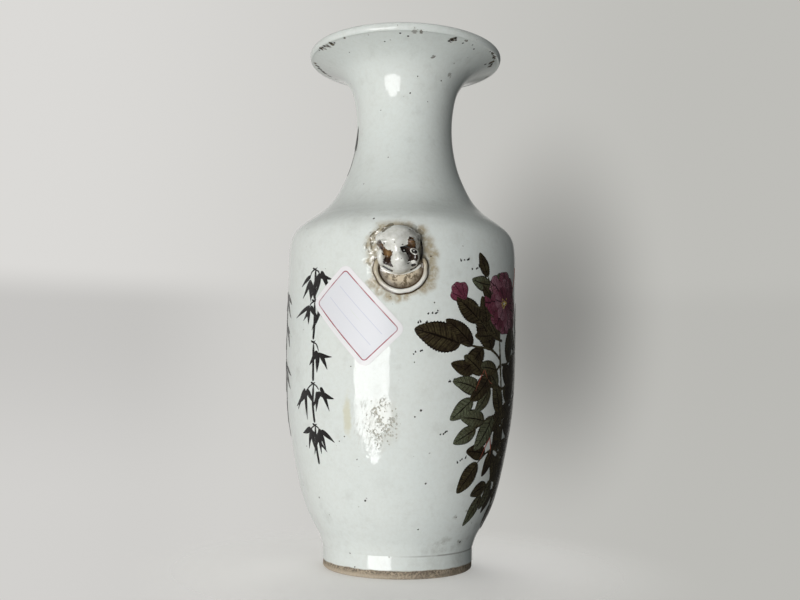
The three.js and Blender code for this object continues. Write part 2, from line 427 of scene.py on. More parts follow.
# Burnt strokes near the rim, as runs of spots: degrees round, height, radius
BURNT_SPOTS = [
    (-65, 226.1, 0.55), (-62, 226.2, 0.8), (-59.5, 226.1, 0.6), (-57, 226.2, 0.95), (-54.4, 225.8, 0.75),
    (-50, 226.1, 0.85), (-47.8, 225.9, 0.6), (-36.6, 226.7, 0.4), (-33.4, 226.6, 0.35), (27.8, 225, 0.65),
    (29.2, 225.4, 0.95), (30.4, 225.9, 0.95), (31.9, 225.5, 0.6), (62.4, 226.1, 0.5), (64.6, 226.2, 0.6),
    (67, 226.1, 0.7), (69.4, 226, 0.65), (71.8, 226, 0.6), (74.4, 225.9, 0.7), (77, 224.2, 0.8),
    (79, 224.9, 0.9), (81.4, 225.2, 0.9), (84, 224.8, 0.8), (-93, 225.4, 1.1), (-97, 225.3, 1.3),
    (-101, 225.1, 1.4), (-105, 224.9, 1.4), (-110, 224.4, 1.3), (-115, 223.8, 1.1), (-121, 223, 1),
    (-127, 222, 0.9),
]

# Chips and burnt patches near the rim: degrees round, height, radius, darkness
RIM_PATCHES = [
    (-61, 226, 3.4, 0.95), (-55, 225.7, 3, 0.8), (-50.5, 226, 2.9, 0.95), (-38, 226.6, 2, 0.9),
    (5, 226.3, 3, 0.55), (8.8, 226.4, 2.4, 0.75), (29.5, 225.4, 3.6, 1), (38, 226, 1.8, 0.8),
    (-88, 225.8, 2.4, 1), (-92, 225.6, 2.4, 1), (-97, 225.4, 2.6, 1), (-103, 225, 2.6, 1),
    (-110, 224.6, 2.6, 1), (66, 226.3, 2.2, 1), (72, 226, 2.4, 1), (78, 225.3, 3, 1), (84, 225, 3, 1),
    (23.6, 220.6, 2.2, 0.7), (49, 216, 2.6, 0.5), (135, 225.6, 3, 0.9), (141, 226, 2.4, 0.9),
    (-140, 225.8, 3, 0.8), (-170, 225.4, 2.4, 0.9), (178, 226, 2.6, 0.9), (110, 225.8, 2.4, 0.9),
]

# Soft grey smudges under the glaze: degrees round, height, radius, depth
SMUDGES = [
    (49, 13.5, 2.6, 0.45), (43, 12, 2.2, 0.3), (57, 15, 2, 0.3), (28, 14.3, 2.4, 0.4), (33, 15.4, 2.6, 0.5),
    (36.5, 15.8, 1.6, 0.4), (46.5, 14.4, 1.2, 0.85), (35.1, 25.6, 1.1, 0.9), (42.7, 27.8, 0.7, 0.95),
    (20, 11.3, 2.6, 0.25), (27, 11.2, 2.6, 0.35), (33, 11, 2.6, 0.35), (26, 6.4, 5, 0.2), (50, 6, 6, 0.26),
    (12, 6.4, 4, 0.14), (-47, 24, 3.5, 0.2), (-38, 66, 5, 0.12), (-58, 84, 4, 0.2), (-50, 60, 3.4, 0.2),
    (18, 62, 3.6, 0.15), (30, 38, 4, 0.16), (-8, 40, 6, 0.1), (60, 20, 3, 0.3), (-24, 142, 4, 0.16),
    (26, 139, 5, 0.14), (-35, 176, 4, 0.12), (150, 60, 6, 0.2), (-130, 110, 6, 0.16),
]

# Brown stain round a handle: across, height, radius
STAIN_SPOTS = [
    (9, 136.5, 4.4), (12, 131, 3.8), (12, 125, 3.8), (11, 119.5, 3.6), (-1.5, 113.6, 2.8), (-8.6, 116.4, 3),
    (10, 133.5, 4.4), (10.8, 128, 4.4), (11, 122.5, 4.4), (8.4, 117.8, 3.4), (-5.4, 114, 3),
    (1.5, 113.6, 2.2), (-11.4, 119.5, 3.2), (-12, 128, 3.2), (-12.6, 135.6, 3.8), (-8.4, 141.6, 3.2),
    (8, 140.6, 3.2),
]

# Middles of single marks on the unrolled wall: across, nothing, height
PITTED_MIDDLE = (-7.2, 0, 63.5)
SMEAR_MIDDLE = (-22.3, 0, 66)
SCRATCHED_MIDDLE = (-14.5, 0, 63)

# The height of the joint above the foot, and where round it the dirt is thickest
FOOT_SEAM = 9.25
DIRTY_ARC = 50


def near_marks(place, table):
    """The distance to each mark of a table, with the table's numbers after its place."""
    for azimuth, height, *look in table:
        yield place.distance(wall_mark(azimuth, height)), *look


def iron_specks(glaze):
    """1 on the specks of the tables, and less on fine ones scattered at random."""
    shift = 0.45
    place = glaze.place + glaze.place.noise(1 / 1.4, 1, output="Color") * shift
    marks = near_marks(place - shift / 2, SPECKS + BURNT_SPOTS)
    specks = largest(distance.fade(radius, 0.55 * radius) for distance, radius in marks)
    distance, chances = place.cells(3.1)
    rare = 0.86
    size = chances[0].fade(rare, 1, 0.02, 0.11)
    fine = (distance - size).fade(0.04, -0.03) * (chances[0] > rare)
    return specks, fine * 0.55


def rim_chips(glaze):
    """Chipped and burnt patches: how dark each place is."""
    ragged = glaze.place.noise(1.3, 4, 0.7)
    return largest(
        (distance.fade(radius, 0.1 * radius) * 0.4 + ragged).fade(0.79, 0.84, 0, dark)
        for distance, radius, dark in near_marks(glaze.place, RIM_PATCHES)
    )


def grey_smudges(glaze):
    """How deep the grey under the glaze is."""
    ragged = glaze.place.noise(1.5, 5, 0.7) - 0.5
    return largest(
        (distance + ragged * (2.4 * radius)).fade(1.2 * radius, -0.2 * radius, 0, depth)
        for distance, radius, depth in near_marks(glaze.place, SMUDGES)
    )


def wall_places(glaze):
    """The place round the wall, the place across the nearest mask, the height, and 1 near a mask."""
    x, y, z = glaze.place.split()
    front = y * -1
    arc = glaze.value("ShaderNodeMath", {0: x, 1: front}, operation="ARCTAN2") * BODY_RADIUS
    return arc, x * front.sign(), z, abs(y).fade(30, 38)


def stained(glaze, colour, across, rise, facing):
    """The glaze colour round a handle with its stain, painted shade inside the ring, and dirt with painted
    shade along the ring's sides; how deep the stain inside the ring is, and how much the glaze is disturbed."""
    place = glaze.place
    flat = glaze.join(across, 0, rise)
    wander = (place.noise(3.4, 4, 0.6) - 0.5) * 4
    ring = flat.oval((RING_ARC, 0, RING_HEIGHT), (1, 1, 1 / RING_SQUASH))
    mask = flat.distance((MASK_ARC - 0.6, 0, MASK_HEIGHT))

    halo = (ring + wander).fade(RING_RADIUS + 3.6, RING_RADIUS + 1.2) * rise.fade(137, 129)
    halo = halo.larger((mask + wander).fade(13.6, 9.8))
    for spot_across, spot_rise, radius in STAIN_SPOTS:
        spot = flat.distance((spot_across, 0, spot_rise)) + wander
        halo = halo.larger(spot.fade(1.15 * radius, 0.25 * radius))
    halo = halo * place.noise(1.9, 4, 0.65).fade(0.3, 0.6, 0.4, 1) * facing
    brown = (0.38, 0.305, 0.18)
    colour = glaze.mix(halo * 0.86, colour, brown)

    inside = ring.fade(RING_RADIUS - 0.3, RING_RADIUS - 1.5) * facing
    light_beige, dark_beige, shade = (0.63, 0.54, 0.40), (0.16, 0.12, 0.07), (0.085, 0.06, 0.036)
    beige = glaze.mix(place.noise(2.2, 5, 0.7).fade(0.48, 0.59), light_beige, dark_beige)
    # Painted shade inside the ring, along its inner edge and under the mask.
    near_ring = (ring + wander).fade(RING_RADIUS - 4.6, RING_RADIUS - 1.4, 0, 0.85)
    under_mask = mask.fade(11.3, 9.2, 0, 0.8)
    beige = glaze.mix(near_ring.larger(under_mask), beige, shade)
    colour = glaze.mix(inside, colour, beige)

    # Dirt and painted shade in the crevice along both sides of the ring.
    crevice = (abs(ring - RING_RADIUS) + wander * 0.16).fade(1.9, 1.1) * facing
    crevice = crevice * rise.fade(MASK_HEIGHT - 1.5, MASK_HEIGHT - 3.5)
    dirt = (0.085, 0.06, 0.035)
    colour = glaze.mix(crevice * 0.75, colour, dirt)
    return colour, inside, mask.fade(17, 13) * facing


def worn_patch(glaze, arc, rise):
    """Paints the pitted patch on the front and the yellow smear beside it, and gives back the pits."""
    place = glaze.place
    flat = glaze.join(arc, 0, rise)
    ragged = (place.noise(3, 4, 0.6) - 0.5) * 11
    patch = (flat.oval(PITTED_MIDDLE, (1.45, 1, 1)) + ragged).fade(13, 6)
    smear = (flat.oval(SMEAR_MIDDLE, (4.5, 1, 1)) + ragged).fade(11, 4, 0, 0.5)
    holes = place.noise(0.9, 4, 0.62).smaller(place.noise(3.4, 2))
    distance, chances = place.cells(1.3)
    pores = distance.fade(0.3, 0.2) * (chances[2] > 0.45)
    pits = (holes + patch * 0.12).fade(0.61, 0.68).larger(pores) * patch.fade(0.05, 0.4)
    glaze.paint(patch * 0.22, (0.6, 0.57, 0.47))
    glaze.paint(pits * 0.6, (0.40, 0.36, 0.27))
    glaze.paint(smear, (0.62, 0.58, 0.36))
    return pits


def scratches(glaze, arc, rise):
    """Slanted scratches and ripples, left of the pits."""
    rippled = glaze.join(arc, 0, rise).oval(SCRATCHED_MIDDLE, (1.7, 1, 1)).fade(15, 6)
    streaks = glaze.join(arc - rise * 0.29, 0, rise * 0.22).noise(0.95, 3, 0.6)
    scratched = streaks.fade(0.53, 0.59) * rippled
    glaze.rough = glaze.rough.larger(scratched * 0.95)
    glaze.paint(scratched * 0.3, (0.44, 0.43, 0.37))
    glaze.emboss(streaks * rippled, 0.05)


def seam_dirt(glaze, arc, rise):
    """Dirt in the joint above the foot, most of it on the right."""
    patchy = glaze.place.noise(9, 2).fade(0.25, 0.5, 0.3, 1)
    dirty = abs(rise - FOOT_SEAM).fade(0.5, 0.1) * abs(arc - DIRTY_ARC).fade(58, 15) * patchy
    glaze.paint(dirty * 0.6, (0.15, 0.14, 0.11))


def bare_foot(glaze, arc, rise):
    """Worn clay below the wavy line where the foot's glaze ends."""
    place = glaze.place
    above_line = rise - glaze.join(arc, 0, 0).noise(14).fade(0.3, 0.7, 3.1, 3.6)
    bare = above_line.fade(0.12, -0.12)
    grit = place.noise(0.9, 5, 0.75)
    dark_clay, light_clay = (0.11, 0.09, 0.065), (0.46, 0.38, 0.28)
    dirty_clay, worn_clay = (0.16, 0.125, 0.09), (0.60, 0.51, 0.39)
    clay = glaze.mix(grit.fade(0.38, 0.6), dark_clay, light_clay)
    clay = glaze.mix(place.noise(6).fade(0.4, 0.7, 0, 0.6), clay, dirty_clay)
    worn = (rise + grit * 3.4).fade(4.2, 2.4) * arc.fade(30, -26, 0.12, 0.7)
    clay = glaze.mix(worn, clay, worn_clay)
    glaze.paint(above_line.fade(0.5, 0, 0, 0.5), (0.42, 0.37, 0.28))
    glaze.paint(bare, clay)
    glaze.rough = glaze.rough.larger(bare * 0.85)
    glaze.emboss(grit * bare, 0.25)


# Materials

def glaze_waves(glaze, strength=1):
    """The slow waviness of a thick glaze and its fine orange peel."""
    glaze.emboss(glaze.place.noise(12, 1), 0.09 * strength)
    glaze.emboss(glaze.place.noise(1.8, 1), 0.035 * strength)


def glaze_lumps(glaze, disturbed):
    """Lumps and runs in the glaze round a handle."""
    glaze.emboss(glaze.place.noise(2.6, 2, 0.4).fade(0.3, 0.7) * disturbed, 0.12)


def porcelain(name, foot=False):
    """The clear, faintly green glaze over the white body, with its wear."""
    glaze = Shader(name)
    place = glaze.place
    arc, across, rise, facing = wall_places(glaze)
    milky, greenish = (0.785, 0.815, 0.775), (0.755, 0.81, 0.785)
    dust, grey = (0.55, 0.55, 0.47), (0.33, 0.33, 0.28)
    glaze.colour = glaze.mix(place.noise(28), milky, greenish)
    glaze.paint(place.noise(1.7, 4, 0.7).fade(0.35, 0.75, 0, 0.16), dust)
    clouds = place.noise(8, 5, 0.65).fade(0.52, 0.72, 0, 0.13)
    glaze.paint(clouds.larger(grey_smudges(glaze)), grey)
    glaze.colour, inside, disturbed = stained(glaze, glaze.colour, across, rise, facing)
    pits = worn_patch(glaze, arc, rise)

    specks, fine_specks = iron_specks(glaze)
    chips = rim_chips(glaze)
    glaze.paint(fine_specks, (0.2, 0.19, 0.15))
    glaze.paint(chips, glaze.mix(place.noise(1.1), (0.02, 0.015, 0.01), (0.17, 0.125, 0.065)))
    seam_dirt(glaze, arc, rise)
    glaze.paint(specks, (0.035, 0.03, 0.025))

    dents = largest([pits, specks, chips])
    glaze.rough = place.noise(7, 4, 0.6).fade(0.3, 0.8, 0.015, 0.055) + inside * 0.25
    glaze.rough = glaze.rough.larger(dents * 0.9)
    glaze_waves(glaze)
    scratches(glaze, arc, rise)
    glaze_lumps(glaze, disturbed)
    glaze.emboss(1 - dents, 0.14)
    if foot:
        bare_foot(glaze, arc, rise)
    return glaze.finish(Specular_IOR_Level=0.42)


def mask_glaze():
    """White glaze over the relief, iron brown in its hollows, black lines, painted shade, and painted
    highlights in the brown and the eye.
    """
    glaze = Shader("mask_glaze")
    place = glaze.place
    blotch = place.noise(1.4, 4, 0.6)
    glaze.colour = glaze.mix(blotch.fade(0.35, 0.7), (0.86, 0.86, 0.81), (0.72, 0.72, 0.65))
    # Pooled brown glaze and painted shade where the head meets the wall.
    glaze.paint(glaze.fact("hollow") * blotch.fade(0.25, 0.6, 0.5, 1), (0.25, 0.20, 0.125))
    _, across, rise, facing = wall_places(glaze)
    wall_colour, _, disturbed = stained(glaze, (0.765, 0.805, 0.77), across, rise, facing)
    glaze.paint(glaze.fact("skirt"), wall_colour)
    # Painted shade on the head's shaded right side and on its flanks.
    glaze.paint(glaze.fact("grime") * blotch.fade(0.3, 0.6, 0.7, 1), (0.075, 0.07, 0.05))
    olive = glaze.fact("olive") + blotch - 0.5
    glaze.paint(olive.fade(-0.2, 0.2, 0, 0.9), (0.14, 0.115, 0.065))
    distance, chances = place.cells(1.7)
    freckles = distance.fade(0.24, 0.15) * (chances[1] > 0.8)
    glaze.paint(freckles * 0.85, (0.06, 0.04, 0.02))

    amber = glaze.mix(place.noise(1.6, 4, 0.6).fade(0.4, 0.62), (0.028, 0.014, 0.007), (0.12, 0.055, 0.02))
    # Painted golden highlights in the brown.
    amber = glaze.mix(glaze.fact("gold"), amber, (0.33, 0.20, 0.085))
    # Painted shade on the lower part of the brown on each side.
    amber = glaze.mix(glaze.fact("dusk"), amber, (0.034, 0.023, 0.019))
    wobble = (place.noise(0.9, 3, 0.6) - 0.5) * 1.5
    glaze.paint((glaze.fact("brown") + wobble).fade(-0.2, 0.12), amber)
    glaze.paint((glaze.fact("ink") + wobble * 0.3).fade(-0.12, 0.08), (0.012, 0.01, 0.009))
    glaze.paint(glaze.fact("line").fade(-0.12, 0.08), (0.74, 0.74, 0.68))
    glaze.rough = blotch.fade(0.3, 0.8, 0.03, 0.09)
    glaze_waves(glaze, 0.5)
    glaze_lumps(glaze, disturbed * glaze.fact("skirt"))
    return glaze.finish(Specular_IOR_Level=1)


def ring_glaze():
    """Cream glaze with a clean white run, and dirt with painted shade along its edges."""
    glaze = Shader("ring_glaze")
    place = glaze.place
    glaze.colour = glaze.mix(place.noise(4, 4).fade(0.35, 0.65), (0.56, 0.50, 0.38), (0.40, 0.34, 0.235))
    glaze.paint(glaze.fact("clean"), (0.86, 0.85, 0.79))
    dirt = glaze.fact("dirt") + place.noise(2) - 0.5
    # Dirt and painted shade along the ring's edges.
    glaze.paint(dirt.fade(0.4, 0.9), (0.075, 0.05, 0.028))
    glaze.rough = 0.11
    glaze_waves(glaze)
    return glaze.finish()


def luting_slip():
    """Rough cream slip."""
    slip = Shader("luting_slip")
    grit = slip.place.noise(0.8, 4, 0.6)
    slip.colour = slip.mix(grit, (0.62, 0.56, 0.46), (0.76, 0.72, 0.64))
    slip.rough = 0.8
    slip.emboss(grit, 0.1)
    return slip.finish()


def label_paper():
    """Smooth white paper with a thin dark red frame printed on it, two faint lines to write on, and painted
    shade along its edge.
    """
    paper = Shader("label_paper")
    place = paper.place
    fibre = (place * (1, 1, 3)).noise(0.9, 4, 0.6)
    paper.colour = paper.mix(fibre, (0.80, 0.80, 0.83), (0.75, 0.765, 0.80))
    inset = paper.fact("inset")
    paper.paint(inset.fade(2.6, 1.8, 0, 0.7), (0.88, 0.86, 0.855))
    frame_line = abs(inset - FRAME_INSET).fade(0.32, 0.12) * place.noise(6).fade(0.3, 0.6, 0.6, 1)
    paper.paint(frame_line, (0.30, 0.008, 0.04))
    rows = abs(abs(paper.fact("down")) - 3.2).fade(0.2, 0.06)
    ruled = rows * (abs(paper.fact("along")) < 13.5)
    paper.paint(ruled * 0.38, (0.36, 0.40, 0.58))
    # Painted shade along the paper's very edge.
    paper.paint(inset.fade(0.35, 0, 0, 0.35), (0.55, 0.54, 0.52))
    paper.rough = 0.42
    paper.emboss(place.noise(6, 2), 0.06)
    paper.emboss(fibre, 0.01)
    return paper.finish()


# Enamels: body, its shade, where it is thin, its drawn lines, and how much it shines
ENAMELS = {
    "leaf": ((0.085, 0.072, 0.034), (0.022, 0.014, 0.009), (0.15, 0.17, 0.105), (0.008, 0.005, 0.003), 0.4),
    "rose": ((0.24, 0.065, 0.10), (0.12, 0.025, 0.045), (0.42, 0.22, 0.27), (0.035, 0.008, 0.015), 0.5),
    "ink": ((0.018, 0.016, 0.015), (0.009, 0.008, 0.008), (0.05, 0.045, 0.04), (0.006, 0.005, 0.005), 0.3),
    "red": ((0.36, 0.10, 0.06), (0.22, 0.05, 0.035), (0.5, 0.2, 0.13), (0.1, 0.02, 0.02), 0.5),
    "yellow": ((0.55, 0.40, 0.12), (0.4, 0.28, 0.07), (0.62, 0.5, 0.25), (0.2, 0.12, 0.04), 0.5),
}


def drawn_lines(paint, along, across):
    """The midrib, side veins, hatching and outline of a leaf or petal."""
    wobble = (paint.place.noise(1.2) - 0.5) * 0.25
    rib = (across + abs(wobble)).fade(0.13, 0.05)
    veins = abs((along * 8 - across * 1.1 + wobble).fraction() - 0.5).fade(0.13, 0.04, 0, 0.8)
    hatching = abs((along * 17 - across * 2.6 + wobble * 3).fraction() - 0.5).fade(0.3, 0.1, 0, 0.45)
    rim = (across + wobble).fade(0.84, 0.93)
    ends = abs(along - 0.5).fade(0.475, 0.495)
    return largest([rib, veins, hatching, rim, ends]) * paint.fact("drawn")


def enamel(name, body, shade, thin, line, shine):
    """Overglaze enamel: u runs across a stroke from -1 to 1, v along it, tone differs from stroke to stroke
    and drawn is 1 where the stroke has veins and an outline."""
    paint = Shader(name + "_enamel")
    place = paint.place
    tone, along, across = paint.fact("tone"), paint.fact("v"), abs(paint.fact("u"))
    patchy = place.noise(3.4, 4, 0.6)
    paint.colour = paint.mix((patchy * 2.4 + tone).fade(1.3, 2.6), body, shade)
    thinning = place.noise(3, 4, 0.65) + along * 0.4 - tone
    paint.paint(thinning.fade(0.15, 0.75, 0, 0.95), thin)
    paint.paint(place.noise(0.8, 4, 0.7).fade(0.42, 0.62, 0, 0.55), shade)
    lines = drawn_lines(paint, along, across)
    paint.paint(lines, line)
    paint.rough = patchy.fade(0.3, 0.8, 0.12, 0.35)
    paint.emboss(patchy - lines * 0.5, 0.03)
    return paint.finish(Specular_IOR_Level=shine)


def floor_material():
    """A pale floor that fades into the background. Only the camera sees its extra light."""
    pale = Shader("pale_floor")
    pale.colour = (0.60, 0.595, 0.575)
    pale.rough = 0.9
    pale.finish(Specular_IOR_Level=0)
    seen = pale.value("ShaderNodeLightPath", output="Is Camera Ray")
    lift = pale.value("ShaderNodeEmission", {"Color": pale.colour, "Strength": seen * 0.55})
    both = pale.value("ShaderNodeAddShader", {0: Value(pale, pale.surface.outputs[0]), 1: lift})
    clear = pale.value("ShaderNodeBsdfTransparent")
    gone = pale.place.length().fade(42, 135)
    mixed = pale.value("ShaderNodeMixShader", {0: gone, 1: both, 2: clear})
    pale.feed(pale.tree.nodes["Material Output"].inputs["Surface"], mixed)
    return pale.material


# Turned pieces

SECTORS = 160
TURNED_CREASE = 35
SKIN = 0.8
RECESS_RADIUS = 27.6
FLOOR_RADIUS = 26.5
FLOOR_BOTTOM = 6.5
FLOOR_TOP = 12
SLIP_RADIUS = 32.2
SLIP_TOP = 9.6
FOOT_TOP = 9.28
CLAY_RADIUS = 32.6
GLAZE_LINE = 3.35


def turned_piece(name, material, node, outline, slot="glazed_porcelain", sectors=SECTORS, shape=None):
    clay = Clay()
    clay.lathe(outline, sectors, shape)
    clay.piece(name, material, slot, [node], TURNED_CREASE)


def joint_face(station, side):
    """The end face of a section from the outside in. The glaze skins of two sections meet at the station,
    and behind them a V-shaped gap is left for the slip."""
    thickness = wall_thickness(station)
    return [
        section_point(station, 0, 0),
        section_point(station, 0, SKIN),
        section_point(station, side * SLIP_HALF - TONGUE, thickness / 2),
        section_point(station, side * SLIP_HALF, thickness),
    ]


def seam_slip(name, material, node, station):
    """A ring of slip that fills the gap between two sections."""
    outline = [*joint_face(station, -1)[1:], *joint_face(station, 1)[:1:-1]]
    turned_piece(name, material, node, outline, "luting_slip")


def neck_section(material):
    lip = curve_points([
        WALL_STATIONS[-1],
        (MOUTH_RADIUS - 0.55, 226.35),
        (MOUTH_RADIUS - 0.03, 227.3),
        (MOUTH_RADIUS, 228.5),
        (MOUTH_RADIUS - 0.4, 229.4),
        (MOUTH_RADIUS - 1.25, HEIGHT - 0.05),
        (MOUTH_RADIUS - 2.1, HEIGHT - 0.25),
        section_point(LAST_STATION, 0, NECK_WALL),
    ], 5)
    turned_piece("neck", material, "neck_section", [
        *wall_run(NECK_STATION, LAST_STATION, 8, 0)[:-1],
        *lip,
        *wall_run(LAST_STATION, NECK_STATION + 0.5, 5, 1)[1:],
        *joint_face(NECK_STATION, 1)[:0:-1],
    ])


def upper_section(material):
    turned_piece("upper_body", material, "upper_body_section", [
        *wall_run(WAIST_STATION, NECK_STATION, 8, 0),
        *joint_face(NECK_STATION, -1)[1:],
        *wall_run(NECK_STATION - 0.5, WAIST_STATION + 0.5, 5, 1),
        *joint_face(WAIST_STATION, 1)[:0:-1],
    ])


def lower_section(material):
    turned_piece("lower_body", material, "lower_body_section", [
        *[(radius, FLOOR_BOTTOM) for radius in (0, 10, 20, FLOOR_RADIUS)],
        (FLOOR_RADIUS, SLIP_TOP), (SLIP_RADIUS, SLIP_TOP), (SLIP_RADIUS, FOOT_HEIGHT),
        (FOOT_RADIUS + 0.08, FOOT_HEIGHT),
        *wall_run(0.1, WAIST_STATION, 10, 0),
        *joint_face(WAIST_STATION, -1)[1:],
        *wall_run(WAIST_STATION - 0.5, 2, 5, 1),
        *curve_points([section_point(2, 0, BODY_WALL), (29, 16.2), (23, 13), (12, 12.1)], 6)[1:],
        (0, FLOOR_TOP),
    ])


def glaze_edge(radius, height, angle):
    """Leaves the bottom of the foot bare: the glaze ends in a wavy line and stands proud above it."""
    line = GLAZE_LINE + 0.16 * np.sin(3 * angle + 1) + 0.07 * np.sin(11 * angle)
    line = line + 0.03 * np.sin(23 * angle + 2)
    outside = (radius > CLAY_RADIUS - 0.1) & (height > 1) & (height < 8.95)
    glazed = np.clip((height - line) / 0.25, 0, 1)
    return np.where(outside, CLAY_RADIUS + (FOOT_RADIUS - CLAY_RADIUS) * glazed, radius), height + 0 * angle


def foot_ring(material):
    turned_piece("foot", material, "foot_ring", [
        (28.8, 0), (31.9, 0), (32.4, 0.4), (CLAY_RADIUS, 0.9),
        *[(CLAY_RADIUS, height) for height in (*np.linspace(1.4, 4, 22), *np.linspace(4.6, 8.85, 8))],
        (FOOT_RADIUS, FOOT_TOP), (RECESS_RADIUS, FOOT_TOP), (RECESS_RADIUS, 1.2), (28, 0.5),
    ], sectors=SECTORS * 2, shape=glaze_edge)


def foot_slip(material):
    turned_piece("foot_slip", material, "foot_seam_slip", [
        (RECESS_RADIUS, FOOT_SEAM), (SLIP_RADIUS, FOOT_SEAM), (SLIP_RADIUS, SLIP_TOP),
        (RECESS_RADIUS, SLIP_TOP),
    ], "luting_slip")


# Lion masks

# Across and up are measured from the mask's middle. The paint is placed as it is seen from the front and
# slightly from below: a point that stands out by 1 mm is seen LIFT higher up, and further from the vase's
# middle by a share of SPREAD
LIFT = 0.14
SPREAD = 0.022
MASK_TOP = 9.4
MASK_REACH = 12.6

# Middle, radii and height of each rounded form
MASK_FORMS = [
    ((0, 2.9), (8.9, 7.1), 7), ((0.3, -3.4), (8.2, 6.6), 4.6), ((0.5, -5.2), (5.2, 4.9), 6.9),
    ((0.7, -5), (3.9, 3.6), 8.3), ((-6, -3.1), (2.2, 4), 5.6), ((6.5, -3.2), (2.1, 4), 5.4),
    ((-5, 1.9), (3.1, 1.7), 6.9), ((5.1, 2.2), (2.8, 1.6), 6.9), ((5.9, -1.3), (2, 1.5), 6.3),
    ((-5.8, -1.4), (1.6, 1.4), 6), ((-7.6, 4.2), (1.6, 2.4), 3.2), ((7.6, 4.6), (1.5, 2.4), 3),
]

# Middle, radii and depth of each hollow, and below 0 the height of each soft swelling
MASK_HOLLOWS = [
    ((-3.8, -3.6), (1.4, 3), 1.6), ((4.3, -3.6), (1.4, 2.6), 1.4), ((-3, 0), (1.4, 0.8), 0.8),
    ((2.9, -0.2), (1.4, 0.8), 0.8), ((-1.1, 2.9), (4.2, 3.2), -2), ((-0.2, -1.7), (2.4, 2.3), -1.6),
    ((2.3, -5.4), (0.8, 0.8), -0.35), ((-0.9, -5.6), (0.8, 0.8), -0.3),
]

# Middle, radii and height of the flat mane locks round the head
MANE_LOCKS = [
    ((-4.8, 9.6), (2.8, 1.2), 0.35), ((-8.2, 8), (2.2, 1.7), 0.5), ((-11, 5.2), (1.5, 2.2), 0.75),
    ((-13.6, 1.2), (1.1, 1.9), 0.75), ((-11.4, 0.6), (1.1, 2.2), 0.6), ((-12.4, -6.2), (1.5, 1), 0.6),
    ((5.6, 9.7), (2.4, 1), 0.35), ((9.4, 7.3), (1.9, 1.5), 0.25), ((11.7, 3.6), (1.2, 2.4), 0.2),
]

# Middle, radii and depth of the painted shade on the head's shaded side, and of the painted golden highlights
# in the brown
PAINTED_SHADE = [
    ((6.6, 7.2), (3.2, 2.6), 0.6), ((8.4, 4), (1.6, 3), 0.9), ((9.5, -1), (1.2, 5), 1),
    ((8.6, -6.2), (1.6, 2.2), 0.9), ((3.4, 9.4), (3.4, 1), 0.6), ((-9.4, -3.4), (0.7, 3), 0.5),
]
PAINTED_GOLD_HIGHLIGHTS = [((-4.4, -1.7), (1.5, 1.5), 1), ((6, 2.9), (1.3, 1.3), 0.35)]

# Outlines of the brown round the eyes
BROWN = [
    [(-8.6, 1.9), (-8.1, 3.6), (-6.8, 3.1), (-5.8, 1.4), (-4.9, 0.1), (-2.5, -0.8), (-2.3, -1.9),
     (-2.9, -3.6), (-2.5, -5.5), (-1.9, -7.1), (-3.9, -6.6), (-6, -5.6), (-5.8, -4.4), (-5, -3),
     (-5.6, -2.2), (-6.3, -0.8), (-7.5, 0.6)],
    [(5, 5.1), (6.8, 3.1), (7.2, 0.8), (8, -2.6), (7.6, -4.1), (5.6, -4.6), (4.3, -5.9), (3.8, -5),
     (4.3, -3.5), (3.2, -1.4), (2.8, -0.3), (1.5, -0.9), (1, 0.7), (2.6, 1.1), (3.7, 1.9), (4, 3.8)],
]

# Brush lines: half width, then the points
MOUTH_SLIT = [(-5.8, -6.9), (-4.2, -7.9), (-2.3, -8.8)]
LOWER_LIP = [
    (-7.3, -6.5), (-5.7, -8.1), (-3.3, -9.3), (-0.5, -9.8), (2.5, -9.7), (5.3, -9.1), (7.4, -7.9),
    (8.9, -6.4),
]
EYE_RIM = [
    (6.5 + 1.45 * math.cos(turn) + 0.3 * math.sin(turn), -0.8 + math.sin(turn) - 0.6 * math.cos(turn))
    for turn in np.linspace(0, 2 * np.pi, 17)
]
OLIVE_LINES = [
    (0.8, [(-6.2, 7.7), (-4.4, 9.1), (-2.7, 10.1)]),
    (0.3, [(-9.8, 7), (-11.2, 5.4), (-11.2, 3.2), (-10.8, 1.4), (-10.6, 0.2)]),
    (0.14, [(-12.6, 3.4), (-13, 1.2), (-11.8, -1.2)]),
    (0.2, [(-7.8, 8.4), (-9.4, 7)]),
]
INK_LINES = [
    (0.42, MOUTH_SLIT),
    (0.3, [(5.3, -8.1), (6.2, -7.8), (7.2, -7.1)]),
    (0.42, [(1.2, 0.6), (2.3, 0.9), (3.4, 1.1)]),
    (0.75, [(2.1, -0.5), (2.6, -0.5)]),
    (0.2, [(-7.4, 3.5), (-7.2, 3.4)]),
    (0.2, [(-5.7, 2.4), (-5.6, 2.1)]),
    (0.18, [(1.6, 1.9), (1.9, 1.9)]),
    (0.72, [(5.9, -0.5), (6.9, -1)]),
    # The line along the head's right edge is painted shade in the crevice beside the head.
    (0.3, [(9.1, 3.8), (9.6, 1.2), (9.7, -1.4), (9.2, -3.8)]),
    (0.55, [(5.9, -6.3), (6.7, -6)]),
    (0.3, [(-5.9, -2.2), (-6.1, -1.8)]),
]
WHITE_LINES = [
    (0.3, [(-6.9, -5.9), (-5.6, -6.3), (-4.2, -6.95), (-2.3, -7.6), (-1.4, -7.9)]),
    (0.42, LOWER_LIP),
    (0.22, [(3.9, -5.2), (5.3, -4.8), (6.4, -4.4), (7.5, -5.6)]),
    (0.2, [(2.4, -0.4), (2.5, -0.4)]),
    # The short stroke in the pupil is a painted highlight.
    (0.06, [(6.1, -0.7), (6.6, -0.5)]),
    (0.18, EYE_RIM),
]


def oval_reach(across, up, middle, radii):
    """The square of how far out each place is: 0 in the middle of an oval and 1 on its edge."""
    return ((across - middle[0]) / radii[0]) ** 2 + ((up - middle[1]) / radii[1]) ** 2


def share_of_cap(across, up, middle, radii):
    return np.clip(1 - oval_reach(across, up, middle, radii), 0, 1)


